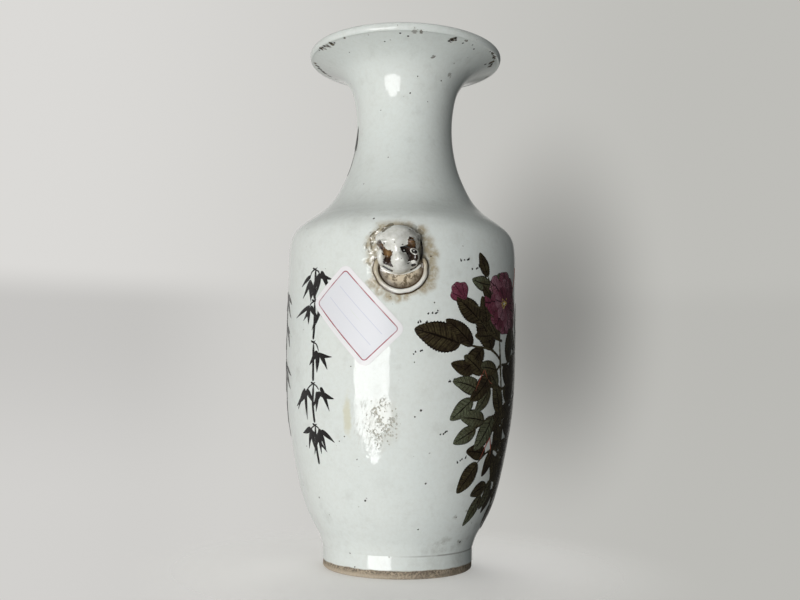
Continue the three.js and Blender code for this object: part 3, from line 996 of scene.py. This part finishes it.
def glow(across, up, table):
    """The deepest of the soft spots of a table at each place."""
    spots = [depth * np.exp(-oval_reach(across, up, middle, radii)) for middle, radii, depth in table]
    return np.max(spots, axis=0)


def mask_relief(across, up):
    """How far the mask stands out: rounded forms that melt into each other, less the hollows."""
    melt = 1.5
    total = 0
    for middle, radii, height in MASK_FORMS:
        total = total + np.expm1(melt * height * np.sqrt(share_of_cap(across, up, middle, radii)))
    relief = np.log1p(total) / melt
    for middle, radii, depth in MASK_HOLLOWS:
        hollow = depth * np.exp(-1.4 * oval_reach(across, up, middle, radii))
        relief = relief - hollow * np.clip(relief / 3, 0, 1)
    return relief


def line_distance(across, up, points):
    """The distance from each place to a line through the points."""
    nearest = np.full(np.shape(across), np.inf)
    for (x0, y0), (x1, y1) in zip(points, points[1:]):
        length = (x1 - x0) ** 2 + (y1 - y0) ** 2
        share = np.clip(((across - x0) * (x1 - x0) + (up - y0) * (y1 - y0)) / length, 0, 1)
        distance = np.hypot(across - x0 - share * (x1 - x0), up - y0 - share * (y1 - y0))
        nearest = np.minimum(nearest, distance)
    return nearest


def brushed(across, up, lines):
    """How deep inside the nearest brush line each place is, and below 0 how far outside."""
    return np.max([width - line_distance(across, up, points) for width, points in lines], axis=0)


def rounded(outline):
    """A closed smooth line through the points of an outline."""
    loop = outline[-1:] + outline + outline[:2]
    return [tuple(point) for point in curve_points(loop, 4)[4:-5]]


def inside_depth(across, up, outline):
    """How deep inside a closed outline each place is, and below 0 how far outside."""
    inside = np.zeros(np.shape(across), bool)
    for (x0, y0), (x1, y1) in zip(outline, outline[1:] + outline[:1]):
        if y0 != y1:
            crossing = x0 + (up - y0) * (x1 - x0) / (y1 - y0)
            inside ^= ((y0 > up) != (y1 > up)) & (across < crossing)
    distance = line_distance(across, up, outline + outline[:1])
    return np.where(inside, distance, -distance)


def mask_places():
    """Rings of places out to the mask's edge, which reaches further on the left and less at the bottom."""
    rings, sectors = 84, 200
    angle = np.linspace(0, 2 * np.pi, sectors, endpoint=False)[None, :]
    share = np.linspace(0.01, 1, rings)[:, None]
    reach = MASK_REACH + 0 * angle
    for toward_angle, more, width in [(178, 2.2, 0.22), (-90, -2.6, 0.45)]:
        reach = reach + more * np.exp(-((np.cos(angle - math.radians(toward_angle)) - 1) / width) ** 2)
    return share * reach * np.cos(angle), share * reach * np.sin(angle) - 0.4


def mask_paint(wide, seen, head):
    """The facts that the mask's material reads, at the places where each point is seen."""
    # Painted shade on the lower part of the brown on each side.
    shaded_right = np.clip((1.4 - seen) / 2, 0, 0.9) * (wide > 0)
    shaded_left = np.clip((-2.6 - seen) / 1.4, 0, 0.8) * (wide < 0)
    return {
        # Pooled glaze and painted shade low round the head.
        "hollow": 0.75 * np.clip(1 - head / 3, 0, 1),
        "skirt": np.clip(1 - head / 0.7, 0, 1),
        "grime": glow(wide, seen, PAINTED_SHADE),
        "gold": glow(wide, seen, PAINTED_GOLD_HIGHLIGHTS),
        "olive": brushed(wide, seen, OLIVE_LINES),
        "brown": np.max([inside_depth(wide, seen, rounded(outline)) for outline in BROWN], axis=0),
        "ink": brushed(wide, seen, INK_LINES),
        "line": brushed(wide, seen, WHITE_LINES),
        "dusk": shaded_right + shaded_left,
    }


def lion_mask(side, material, nodes):
    """A lion's head in relief, with a few flat locks of its mane on the wall round it."""
    across, up = mask_places()
    relief = mask_relief(across, up)
    seen = up + LIFT * relief
    wide = (MASK_ARC + across) * (1 + SPREAD * relief) - MASK_ARC
    detail = sum(
        height * np.exp(-(line_distance(wide, seen, line) / width) ** 2)
        for line, height, width in [(LOWER_LIP, 0.55, 0.5), (MOUTH_SLIT, -0.7, 0.45), (EYE_RIM, 0.25, 0.3)]
    )
    head = np.minimum(relief + detail * np.clip(relief / 2, 0, 1), MASK_TOP)
    locks = sum(height * share_of_cap(across, up, middle, radii) for middle, radii, height in MANE_LOCKS)
    out = np.maximum(head, locks) + 0.12 * share_of_cap(across, up, (0, -0.4), (12.4, 12.4))
    front = on_wall(MASK_ARC + across, MASK_HEIGHT + up, out - 0.02)
    rim = on_wall(MASK_ARC + across[-1], MASK_HEIGHT + up[-1], -0.5)
    clay = Clay()
    clay.disc(front, rim, **mask_paint(wide, seen, head))
    clay.piece("lion_mask_on_" + side, material, "glazed_porcelain", nodes, turned=side == "back")


def handle_ring(side, material, node):
    """A ring that lies on the wall, with glaze pooled along both its sides."""
    angles = np.radians(np.linspace(-RING_END_ANGLE, RING_END_ANGLE, 105))[:, None]
    chance = random.Random(7)
    waves = [(chance.uniform(0.02, 0.05), turns, chance.uniform(0, 6)) for turns in (2, 3, 5, 9, 14)]
    sway = sum(size * np.sin(turns * angles + start) for size, turns, start in waves)
    half = RING_THICKNESS / 2
    round_part = [(half * math.cos(step), half * (1 + math.sin(step)) + 0.1)
                  for step in np.radians(np.linspace(-50, 230, 19))]
    pool, bottom = 1.45, -0.5
    section = [
        (pool, 0.06), (1.1, 0.2), *round_part, (-1.1, 0.2), (-pool, 0.06), (-pool, bottom), (pool, bottom),
    ]
    side_step, out = np.array(section).T[:, None, :]
    taper = np.clip((math.radians(RING_END_ANGLE) - np.abs(angles)) / 0.2, 0, 1) ** 0.6
    thick = (1 + 1.2 * sway) * (0.4 + 0.6 * taper)
    radius = RING_RADIUS + sway * 1.6 + side_step * thick
    arc = RING_ARC + radius * np.sin(angles)
    rise = RING_HEIGHT - RING_SQUASH * radius * np.cos(angles)
    loops = on_wall(arc, rise, np.where(out > 0, out * thick, out))
    clay = Clay()
    # Dirt and painted shade low along the ring's sides, where it meets the wall.
    clay.rod(loops, dirt=np.clip((1.05 - out) / 0.8, 0, 1), clean=np.clip(1.5 - np.abs(angles - 0.3), 0, 1))
    clay.piece("handle_ring_on_" + side, material, "glazed_porcelain", [node], turned=side == "back")


# Label

FRAME_INSET = 2.25
LABEL_INSETS = np.array([
    11.4, 10, 8, 6, 4.5, 3.4, 3, 2.6, 2.42, FRAME_INSET, 2.08, 1.9, 1.7, 1.2, 0.6, 0.2, 0,
])
LIFTED_CORNER = (15.6, -8.6)


def label_outline(inset):
    """Points round the label's outline, moved in by an inset: each corner's arc, then the side after it."""
    corner_steps, side_steps = 10, 16
    radius = max(LABEL_CORNER - inset, 0.1)
    reach = np.array([LABEL_LENGTH / 2 - inset, LABEL_WIDTH / 2 - inset]) - radius
    corners = []
    for quarter, signs in enumerate([(1, 1), (-1, 1), (-1, -1), (1, -1)]):
        angles = math.pi / 2 * (quarter + np.arange(corner_steps + 1) / corner_steps)
        corners.append(reach * signs + radius * np.stack([np.cos(angles), np.sin(angles)], -1))
    sides = [np.linspace(arc[-1], following[0], side_steps + 1)[1:-1]
             for arc, following in zip(corners, corners[1:] + corners[:1])]
    return np.concatenate([part for pair in zip(corners, sides) for part in pair])


def price_label(material):
    """A rounded sheet in loops from its middle out, bent round the wall, with one corner lifted a little."""
    along, down = np.moveaxis(np.array([label_outline(inset) for inset in LABEL_INSETS]), -1, 0)
    slant = math.radians(LABEL_SLANT)
    arc = LABEL_ARC + along * math.cos(slant) - down * math.sin(slant)
    rise = LABEL_HEIGHT + along * math.sin(slant) + down * math.cos(slant)
    from_corner = np.hypot(along - LIFTED_CORNER[0], down - LIFTED_CORNER[1])
    lift = 0.16 + 0.45 * np.clip((5 - from_corner) / 5, 0, 1) ** 2
    clay = Clay()
    clay.disc(on_wall(arc, rise, lift), on_wall(arc[-1], rise[-1], 0.03),
              inset=LABEL_INSETS[:, None], along=along, down=down)
    clay.piece("paper_label", material, "label_paper", ["price_label"], 40)


# Painting

# About how far a stroke stands out of the wall, and how deep it reaches into it
PROUD = 0.1
BURIED = 0.35


def stroke(clay, path, width, swell, tone=0.5, drawn=1, steps=6, lift=0, ragged=0):
    """A closed enamel stroke on the wall, along a smooth path of (arc, rise). swell(v) is its share of the
    full width at v, from 0 at its start to 1 at its end, and ragged how jagged its edges are."""
    line = curve_points(path, steps)
    heading = np.gradient(line, axis=0)
    heading /= np.maximum(np.linalg.norm(heading, axis=1), 1e-6)[:, None]
    sideways = np.stack([heading[:, 1], -heading[:, 0]], -1)
    v = np.linspace(0, 1, len(line))[:, None]
    u = np.array([-1, -0.92, -0.7, -0.35, 0, 0.35, 0.7, 0.92, 1])[None, :]
    half = width / 2 * np.maximum(swell(v), 0.02)
    if ragged:
        teeth = np.where(np.arange(len(line)) % 2, ragged, -ragged)[:, None]
        half = half * (1 + teeth * np.abs(u) ** 4)
    arc, rise = np.moveaxis(line[:, None] + sideways[:, None] * (half * u)[..., None], -1, 0)
    front = on_wall(arc, rise, lift + 0.03 + PROUD * np.sqrt(1 - 0.96 * u * u))
    clay.slab(front, on_wall(arc, rise, -BURIED), u=u, v=v, tone=tone, drawn=drawn)


# The width of each kind of stroke at v, as a share of the full one

def leaf_shape(v):
    return np.sin(np.pi * np.clip(v, 0, 1) ** 0.8) ** 0.75


def petal_shape(v):
    return np.clip(np.sin(np.pi * np.clip(0.12 + 0.84 * v, 0, 1) ** 1.7), 0, 1) ** 0.55


def brush_shape(v):
    return np.clip(np.sin(np.pi * np.clip(v, 0, 1) ** 0.55), 0, 1) ** 0.9


def even_shape(v):
    return np.clip(4 * (1 - v), 0, 1) ** 0.5 * np.clip(6 * v + 0.6, 0, 1)


def knotty_shape(v):
    return even_shape(v) * (1 - 0.45 * v) * (1 + 0.18 * np.sin(37 * v) * np.sin(11 * v + 1))


def toward(angle):
    """A step of 1 along an angle in degrees, anticlockwise from straight right."""
    return np.array([math.cos(math.radians(angle)), math.sin(math.radians(angle))])


def spray(clay, start, angle, length, width, swell, bend=0, **look):
    """One leaf or petal from its base, along an angle that turns by bend on the way."""
    path = [np.array(start, float)]
    for share in (0.125, 0.375, 0.625, 0.875):
        path.append(path[-1] + length / 4 * toward(angle + bend * share))
    stroke(clay, path, width, swell, **look)


# Leafy branches: leaf length, tone from 0 (thin green) to 1 (dark), bare length at the foot, and path
BRANCHES = [
    (19, 0.85, 8, [(49, 90), (42, 94), (33, 95), (24, 96)]),
    (14, 0.75, 3, [(50, 98), (45, 99), (40, 102), (34, 106)]),
    (15, 0.6, 4, [(49, 88), (43, 84), (36, 84), (31, 85)]),
    (17, 0.1, 4, [(51, 78), (44, 79), (37, 77), (31, 73)]),
    (16, 0.3, 3, [(53, 66), (47, 67), (40, 65), (34, 61)]),
    (15, 0.65, 4, [(57, 50), (50, 53), (43, 51), (38, 47)]),
    (14, 0.5, 3, [(60, 38), (54, 40), (49, 38), (46, 33)]),
    (11, 0.5, 8, [(48, 104), (44, 112), (42, 119), (39, 125)]),
    (15, 0.75, 2, [(50, 88), (56, 89), (63, 94), (69, 104)]),
    (16, 0.8, 2, [(51, 78), (57, 80), (65, 82), (75, 88)]),
    (16, 0.85, 2, [(52, 70), (58, 73), (66, 74), (75, 78)]),
    (16, 0.9, 2, [(54, 62), (60, 65), (67, 65), (76, 68)]),
    (16, 0.85, 2, [(55, 54), (62, 57), (69, 56), (78, 59)]),
    (16, 0.9, 2, [(57, 46), (64, 49), (70, 47), (78, 50)]),
    (15, 0.85, 2, [(59, 39), (65, 41), (70, 39), (77, 41)]),
    (15, 0.9, 1, [(62, 34), (67, 34), (72, 31), (77, 32)]),
    (11, 0.85, 1, [(60, 43), (58, 37), (60, 31), (64, 25)]),
    (11, 0.85, 1, [(65, 44), (66, 37), (68, 31), (71, 25)]),
    (15, 0.8, 1, [(54, 70), (55, 62), (57, 54), (60, 46)]),
    (14, 0.7, 12, [(64, 52), (74, 62), (82, 78), (90, 94)]),
]

# Width and path
STEMS = [
    (1.6, [(64, 24), (60, 36), (57, 48), (54, 60), (51, 74), (49, 88), (48, 100), (50, 112)]),
    (0.8, [(46, 106), (38, 110), (31, 112), (27, 114)]),
]
TWIGS = [
    (0.5, [(38, 86), (35, 81), (33, 77)]), (0.45, [(38, 86), (40, 82), (43, 80)]),
    (0.5, [(45, 58), (42, 53), (40, 49)]), (0.45, [(45, 58), (47, 53), (47, 48)]),
    (0.5, [(62, 120), (66, 126), (67, 131)]),
]

DABS = [(25, 129), (31, 126.5), (7, 103), (11, 107), (5, 91), (20, 80), (17, 59), (27, 48), (30, 41)]
BLOOM_MIDDLE = np.array([52, 114])
BUD_BASE = (27, 114)


def leafy_branch(clay, chance, length, tone, bare, path):
    """Leaves on alternate sides of a path, and one at its tip."""
    line = curve_points(path, 12)
    reach = np.concatenate([[0], np.cumsum(np.linalg.norm(np.diff(line, axis=0), axis=1))])
    spacing = 0.31 * length
    count = max(int((reach[-1] - bare) / spacing), 2)
    for index in range(count + 1):
        along = bare + (reach[-1] - bare - 1) * index / count
        place, ahead = np.stack([np.interp([along, along + 1], reach, column) for column in line.T], -1)
        heading = math.degrees(math.atan2(ahead[1] - place[1], ahead[0] - place[0]))
        if index < count:
            turn = chance.uniform(38, 72) * (1 if index % 2 else -1)
        else:
            turn = chance.uniform(-12, 12)
        long = length * chance.uniform(0.75, 1.08)
        spray(clay, place, heading + turn, long, long * chance.uniform(0.46, 0.6), leaf_shape, -0.4 * turn,
              tone=tone + chance.uniform(-0.3, 0.25), steps=8, ragged=0.045, lift=chance.uniform(0, 0.06))


def leaves(clay):
    chance = random.Random(11)
    for branch in BRANCHES:
        leafy_branch(clay, chance, *branch)


def stems(clay):
    for width, path in STEMS + [(1.2, path) for *_, path in BRANCHES]:
        stroke(clay, path, width, knotty_shape, 0.55, 0.5, steps=10, lift=0.045, ragged=0.15)


def dabs(clay):
    """Short dabs in loose rows of four."""
    chance = random.Random(5)
    for arc, rise in DABS:
        for dab in range(4):
            shift, lift = chance.uniform(-0.4, 0.4), chance.uniform(-0.4, 0.4)
            place = (arc + 1.2 * dab + shift, rise + 0.4 * dab + lift)
            length = chance.uniform(0.7, 1.7)
            spray(clay, place, chance.uniform(30, 120), length, 0.7, brush_shape, tone=1, drawn=0, steps=2)


def bloom(clay):
    """An open camellia with three rings of petals, and a bud."""
    chance = random.Random(3)
    for ring, (count, length, width) in enumerate([(8, 13, 11.5), (7, 10, 9.5), (6, 6.5, 7)]):
        for index in range(count):
            angle = 360 / count * (index + 0.5 * ring) + chance.uniform(-8, 8)
            start = BLOOM_MIDDLE + 1.2 * toward(angle)
            spray(clay, start, angle, length * chance.uniform(0.9, 1.05), width, petal_shape,
                  chance.uniform(-14, 14), tone=chance.uniform(0.1, 0.9), lift=0.035 * (ring + 1))
    for angle, length, width in [(160, 7, 5), (132, 8, 5.6), (104, 7, 5)]:
        spray(clay, BUD_BASE, angle, length, width, petal_shape, tone=0.6, lift=0.04)


def twigs(clay):
    for width, path in TWIGS:
        stroke(clay, path, width, brush_shape, 0.5, 0, lift=0.05)


def stamens(clay):
    chance = random.Random(9)
    for _ in range(14):
        angle, reach = math.degrees(chance.uniform(0, 2 * np.pi)), chance.uniform(0.2, 2.3)
        start = BLOOM_MIDDLE + reach * toward(angle)
        spray(clay, start, angle, 1.1, 0.8, brush_shape, tone=0.4, drawn=0, steps=2, lift=0.15)


def bamboo_stalk(clay, arc, bottom, top, seed):
    """An upright stalk in ink with its joints, and hanging leaves in loose groups."""
    chance = random.Random(seed)
    for low in np.arange(bottom, top, 17):
        high = min(low + 15.8, top)
        sway = chance.uniform(-0.7, 0.7)
        stalk = [(arc, low), (arc + sway, (low + high) / 2), (arc + 0.3, high)]
        stroke(clay, stalk, 1.3, even_shape, 0.9, 0)
        joint = [(arc - 1.5, high + 0.8), (arc, high + 0.2), (arc + 1.5, high + 0.8)]
        stroke(clay, joint, 0.9, brush_shape, 1, 0, 3)
        for side in chance.choice([(-1,), (1,), (-1, 1)]):
            tip = np.array([arc + side * chance.uniform(2.5, 4.5), high - chance.uniform(1.5, 4)])
            stroke(clay, [(arc, high), (arc + side * 2, high - 0.8), tip], 0.6, even_shape, 1, 0, 3)
            for angle in (-90 - 38 * side, -90 - 6 * side, -90 + 34 * side, -90 + 66 * side):
                angle += chance.uniform(-9, 9)
                base = tip + (chance.uniform(-1.2, 1.2), chance.uniform(-1.2, 1.2))
                spray(clay, base, angle, chance.uniform(7, 12), chance.uniform(1.7, 2.6), brush_shape,
                      chance.uniform(-22, 22), tone=chance.uniform(0.5, 1), drawn=0)


def ink_bamboo(clay):
    """Two stalks of bamboo on the body, and a sprig on the neck."""
    bamboo_stalk(clay, -40, 46, 126, 21)
    bamboo_stalk(clay, -70, 56, 118, 4)
    for angle in (-80, -105, -130):
        spray(clay, (-64, 194), angle, 11, 2.4, brush_shape, 10, tone=1, drawn=0)
    stroke(clay, [(-66, 172), (-64.5, 184), (-64, 195)], 0.8, even_shape, 1, 0)


# Each painted piece: its strokes, its enamel and its slot
PAINTED_PIECES = {
    "painted_leaves": (leaves, "leaf", "dark_enamel"),
    "painted_stems": (stems, "leaf", "dark_enamel"),
    "painted_dabs": (dabs, "ink", "dark_enamel"),
    "painted_bloom": (bloom, "rose", "rose_enamel"),
    "painted_twigs": (twigs, "red", "rose_enamel"),
    "painted_stamens": (stamens, "yellow", "rose_enamel"),
    "ink_bamboo": (ink_bamboo, "ink", "dark_enamel"),
}


# Camera, lights and floor

CAMERA_PLACE = (0, -429.8, 78.6)
CAMERA_PITCH = 5.132
CAMERA_YAW = 0.09
CAMERA_ROLL = 0.94
FOCAL_PIXELS = 955.66
FRAME_WIDTH = 800
SENSOR = 36

FLOOR_REACH = 0.8
FLOOR_DROP = -0.0001
BLACK = (0, 0, 0)


def camera():
    data = bpy.data.cameras.new("camera")
    data.sensor_width = SENSOR
    data.lens = SENSOR * FOCAL_PIXELS / FRAME_WIDTH
    data.clip_start = 0.02
    data.clip_end = 20
    thing = new_object("camera", data)
    turns = (CAMERA_YAW, "Z"), (90 + CAMERA_PITCH, "X"), (CAMERA_ROLL, "Z")
    yaw, pitch, roll = [Matrix.Rotation(math.radians(angle), 4, axis) for angle, axis in turns]
    thing.matrix_world = Matrix.Translation(Vector(CAMERA_PLACE) * MM) @ yaw @ pitch @ roll
    bpy.context.scene.camera = thing


def panel(name, azimuth, elevation, distance, size, radiance, glossy=True):
    """A soft light that faces the vase, with its distance and size in metres. Azimuth 0 is at the camera,
    and positive is to the right."""
    data = bpy.data.lights.new(name, "AREA")
    data.shape = "RECTANGLE"
    data.size, data.size_y = size
    data.energy = radiance * math.pi * size[0] * size[1]
    thing = new_object(name, data)
    around, up = math.radians(azimuth), math.radians(elevation)
    away = Vector((math.sin(around) * math.cos(up), -math.cos(around) * math.cos(up), math.sin(up)))
    thing.location = Vector((0, 0, HEIGHT * MM / 2)) + away * distance
    thing.rotation_euler = away.to_track_quat("Z", "Y").to_euler()
    thing.visible_camera = False
    thing.visible_glossy = glossy
    return data


def window_shape(data):
    """Softens the window's edges and narrows it towards its top and bottom, as its reflections show."""
    data.use_nodes = True
    nodes = Nodes(data.node_tree)
    u, v, _ = nodes.value("ShaderNodeNewGeometry", output="Parametric").split()
    place = nodes.join(u, v, 0)
    half_width = v.fade(-0.04, 0.25, 0.09, 0.5).smaller(v.fade(0.93, 0.86, 0.27, 0.5))
    ragged = ((place * (0.4, 1, 1)).noise(0.07, 2, 0.6) - 0.56) * 0.22
    inside = half_width - abs(u - 0.5) + ragged
    shape = inside.fade(0, 0.012) * v.fade(0, 0.02) * v.fade(1, 0.96)
    folds = (place * (1, 0.25, 1)).noise(0.06, 3, 0.6)
    nodes.feed(nodes.tree.nodes["Emission"].inputs["Strength"], shape * folds.fade(0.3, 0.6, 0.72, 1))


def lights():
    """A tall window at the left and a light overhead, which both show in the glaze, and fills that don't."""
    window_shape(panel("window", -27, -11, 1.2, (0.76, 0.74), 8.55))
    panel("low_fill", -25, -38, 1.2, (0.8, 0.8), 0.3, False)
    panel("front_fill", 28, 26, 1.2, (0.8, 0.8), 0.62, False)
    panel("right_fill", 125, 15, 1.3, (0.8, 0.8), 0.05, False)
    panel("back_fill", 190, 35, 1.3, (1, 0.8), 2.6, False)
    panel("back_window", 175, 55, 1.3, (0.4, 0.5), 2, False)
    panel("overhead", 0, 88, 1.1, (0.8, 0.8), 0.75)


def backdrop(nodes, x, y, z):
    """Pale round about, with the far edge of a table on the left and a soft shadow on the right."""
    pale = nodes.mix(x.fade(-0.4, 0.32), (0.71, 0.70, 0.68), (0.515, 0.512, 0.485))
    table = z.fade(0.115, 0.075) * z.fade(-0.12, 0.06, 0.45, 1) * x.fade(-0.12, -0.28, 0.05, 0.2)
    from_shadow = nodes.join((x - 0.155) / 0.115, (z - 0.072) / 0.215, 0).length()
    shadow = from_shadow.fade(1.05, 0.1, 0, 0.5) * y.fade(0, 0.5)
    return nodes.mix((1 - table) * (1 - shadow), BLACK, pale)


def world():
    """The camera sees the backdrop. The glaze sees it behind the vase, and a dimmer room elsewhere."""
    scene_world = bpy.data.worlds.new("studio")
    bpy.context.scene.world = scene_world
    scene_world.use_nodes = True
    nodes = Nodes(scene_world.node_tree)
    x, y, z = nodes.value("ShaderNodeTexCoord", output="Generated").split()
    seen = backdrop(nodes, x, y, z)
    room = x.fade(0.1, 0.4, 1, 0.07) * y.fade(0.1, -0.5, 1, 0.4) * z.fade(0.25, 0.7, 1, 0.35)
    mirrored = nodes.mix(room.larger(y.fade(0.86, 0.97)), BLACK, seen)
    soft = nodes.mix(x.fade(-0.9, 0.7), (0.165, 0.156, 0.142), (0.075, 0.08, 0.082))
    dimmer_above = z.fade(0.6, -0.8, 0.88, 1.12).smaller(1)
    soft = nodes.mix(dimmer_above, BLACK, soft)
    colour = nodes.mix(nodes.value("ShaderNodeLightPath", output="Is Glossy Ray"), soft, mirrored)
    colour = nodes.mix(nodes.value("ShaderNodeLightPath", output="Is Camera Ray"), colour, seen)
    nodes.feed(nodes.tree.nodes["Background"].inputs["Color"], colour)


def floor():
    mesh = bpy.data.meshes.new("floor")
    sides = ((-1, -1), (1, -1), (1, 1), (-1, 1))
    mesh.from_pydata([(x * FLOOR_REACH, y * FLOOR_REACH, FLOOR_DROP) for x, y in sides], [], [(0, 1, 2, 3)])
    mesh.materials.append(floor_material())
    thing = new_object("floor", mesh)
    thing.visible_shadow = False
    thing.visible_glossy = False
    thing.visible_diffuse = False


def turned_pieces():
    glaze = porcelain("porcelain_glaze")
    slip = luting_slip()
    neck_section(glaze)
    upper_section(glaze)
    lower_section(glaze)
    foot_ring(porcelain("foot_glaze", True))
    seam_slip("neck_slip", slip, "neck_seam_slip", NECK_STATION)
    seam_slip("waist_slip", slip, "waist_seam_slip", WAIST_STATION)
    foot_slip(slip)


def handles():
    relief_glaze = mask_glaze()
    pale_glaze = ring_glaze()
    for side in ("front", "back"):
        lion_mask(side, relief_glaze, ["lion_mask_" + side, "mask_slip_" + side])
        handle_ring(side, pale_glaze, "handle_ring_" + side)


def painting():
    enamels = {name: enamel(name, *look) for name, look in ENAMELS.items()}
    for name, (paint, colour, slot) in PAINTED_PIECES.items():
        clay = Clay()
        paint(clay)
        clay.piece(name, enamels[colour], slot)


bpy.context.scene.view_settings.view_transform = "Standard"
camera()
lights()
world()
floor()
turned_pieces()
handles()
price_label(label_paper())
painting()
